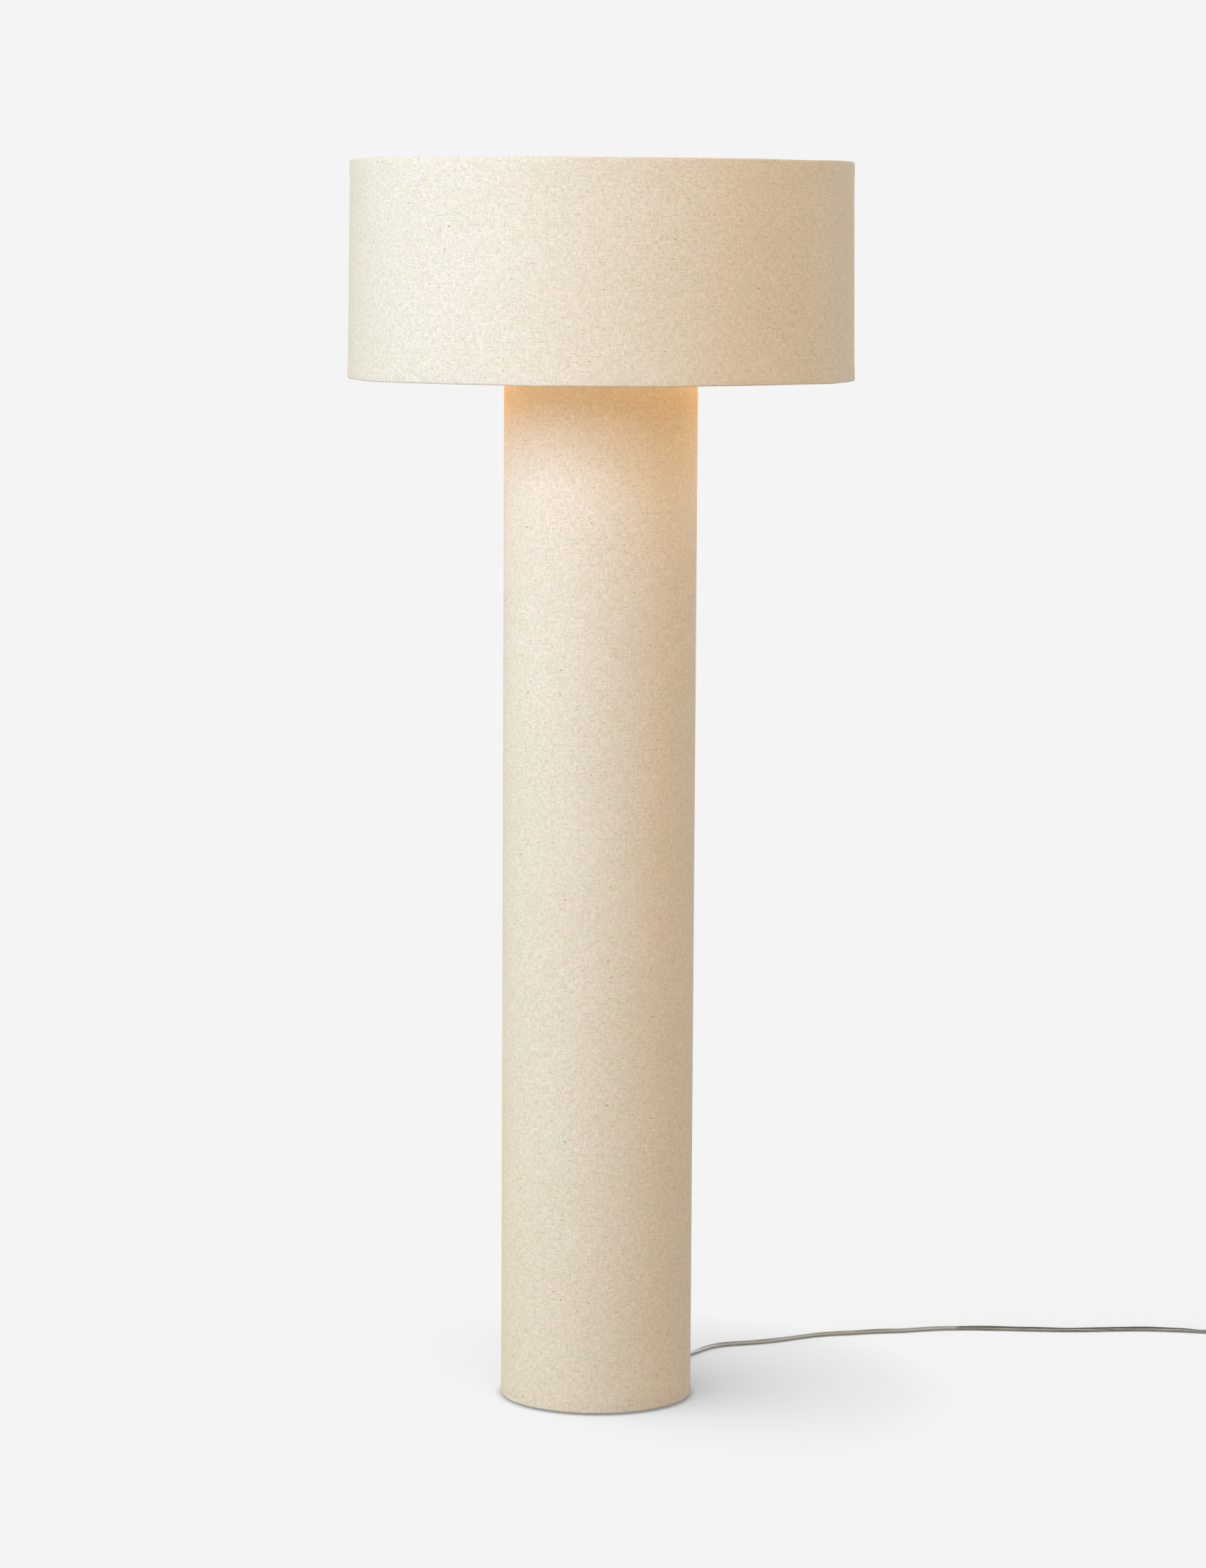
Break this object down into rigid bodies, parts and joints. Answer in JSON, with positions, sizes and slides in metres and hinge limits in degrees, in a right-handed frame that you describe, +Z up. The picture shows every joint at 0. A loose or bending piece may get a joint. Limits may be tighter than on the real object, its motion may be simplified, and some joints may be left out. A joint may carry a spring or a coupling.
{
  "type": "column floor lamp",
  "caption": "Floor lamp: a linen-covered column on a weighted base, with a wide linen drum shade, twin bulbs, and a flat cord with foot switch and plug.",
  "frame": {"origin": "centre of the column's footprint, on the floor", "axes": "+Z up; the picture looks along +Y with +X to its right; the cord leaves at the back right"},
  "size_m": [1.3306, 0.659, 1.524],
  "materials": {
    "linen": "plain-woven slubby linen, matt",
    "liner": "stiff white styrene",
    "plywood": "raw birch plywood",
    "fibreboard": "spiral-wound brown board",
    "socket_fibre": "brown insulating fibre",
    "iron": "black-dipped, sand-cast",
    "steel": "zinc-plated",
    "cream_paint": "satin powder coat",
    "brass": "satin, light lacquer",
    "phenolic": "moulded black",
    "bulb_cap": "rolled thread",
    "bulb_glass": "frosted inside, warm white",
    "felt": "black wool felt",
    "clear_pvc": "clear over tinned and copper strands",
    "switch_plastic": "moulded ivory",
    "blade": "stamped, bright"
  },
  "bodies": {
    "lamp": {"felt_pad": "felt", "bottom_disc": "plywood", "base_weight": "iron", "weight_bolts": "steel", "lower_washer": "steel", "lower_nut": "steel", "pole": "steel", "column_tube": "fibreboard", "column_linen": "linen", "top_disc": "plywood", "top_plate": "cream_paint", "upper_washer": "brass", "upper_nut": "brass", "neck": "brass", "cluster_cup": "brass", "cluster_nut": "steel", "cluster_lid": "brass", "post_nut": "steel", "shade_post": "brass", "post_stud": "brass", "spider_seat": "brass", "inner_lead": "clear_pvc", "wire_caps": "phenolic", "socket_leads": "clear_pvc", "strain_relief": "clear_pvc", "cord_run": "clear_pvc", "cord_tail": "clear_pvc", "cord_coil": "clear_pvc", "cord_end": "clear_pvc", "cord_tie": "phenolic", "switch_base": "switch_plastic", "switch_cover": "switch_plastic", "switch_module": "phenolic", "switch_screws": "steel", "plug_body": "clear_pvc", "plug_blades": "blade", "socket_arm_1": "brass", "socket_cap_1": "brass", "socket_shell_1": "brass", "socket_liner_1": "socket_fibre", "socket_core_1": "phenolic", "screw_shell_1": "brass", "socket_arm_2": "brass", "socket_cap_2": "brass", "socket_shell_2": "brass", "socket_liner_2": "socket_fibre", "socket_core_2": "phenolic", "screw_shell_2": "brass"},
    "shade": {"spider_ring": "steel", "bottom_ring": "steel", "shade_liner": "liner", "shade_linen": "linen", "finial_washer": "brass"},
    "finial": {"finial": "brass"},
    "bulb_1": {"bulb_base_1": "bulb_cap", "bulb_glass_1": "bulb_glass"},
    "bulb_2": {"bulb_base_2": "bulb_cap", "bulb_glass_2": "bulb_glass"},
    "switch_button": {"switch_button": "switch_plastic"}
  },
  "joints": [
    {"name": "shade_turn", "type": "hinge", "parent": "lamp", "child": "shade", "pos_m": [0, 0, 1.4765], "axis": [0, 0, 1], "continuous": true},
    {"name": "finial_turn", "type": "hinge", "parent": "shade", "child": "finial", "pos_m": [0, 0, 1.49], "axis": [0, 0, 1], "continuous": true},
    {"name": "bulb_1_turn", "type": "hinge", "parent": "lamp", "child": "bulb_1", "pos_m": [0.042, 0, 1.34768], "axis": [0.866, 0, 0.5], "continuous": true},
    {"name": "bulb_2_turn", "type": "hinge", "parent": "lamp", "child": "bulb_2", "pos_m": [-0.042, 0, 1.34768], "axis": [-0.866, 0, 0.5], "continuous": true},
    {"name": "button_press", "type": "slide", "parent": "lamp", "child": "switch_button", "axis": [0, 0, -1], "range_m": [0, 0.003], "stiffness_N_per_m": 800}
  ]
}
